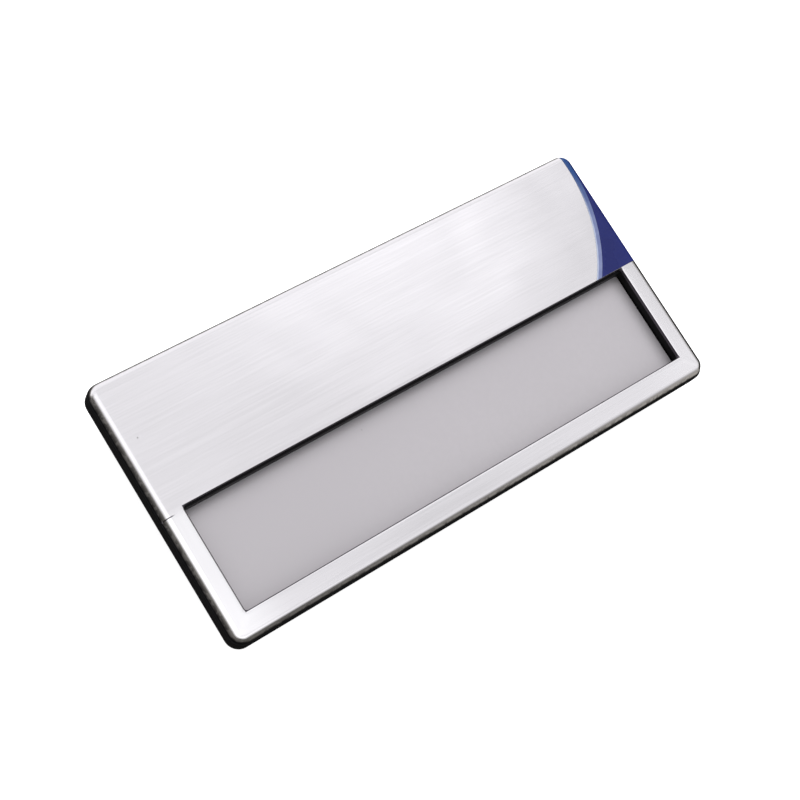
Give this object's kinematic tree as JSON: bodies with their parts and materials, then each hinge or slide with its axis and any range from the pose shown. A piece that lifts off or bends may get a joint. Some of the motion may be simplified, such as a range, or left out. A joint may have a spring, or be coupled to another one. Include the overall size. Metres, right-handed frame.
{
  "type": "name badge",
  "caption": "Rectangular brushed steel name badge with a recessed name window, a blue corner field with a pale stripe, a black back tray and a magnet bar.",
  "frame": {"origin": "under the middle of the badge, at the lowest face of the magnet bar, on the surface that the badge lies on", "axes": "+X along the badge towards the coloured corner, +Y towards the plain upper edge, +Z out of the face"},
  "size_m": [0.076, 0.036, 0.0072],
  "materials": {
    "brushed_steel": "satin, grain along the badge",
    "blue_enamel": "smooth printed enamel",
    "pale_enamel": "smooth printed enamel",
    "black_plastic": "moulded, satin",
    "grey_card": "smooth, matt",
    "magnet_case": "moulded, fine grain"
  },
  "bodies": {
    "root": {"front_shell": "brushed_steel", "corner_enamel": "blue_enamel", "enamel_pinstripe": "pale_enamel", "back_tray": "black_plastic", "name_card": "grey_card", "magnet_bar": "magnet_case"}
  },
  "joints": []
}
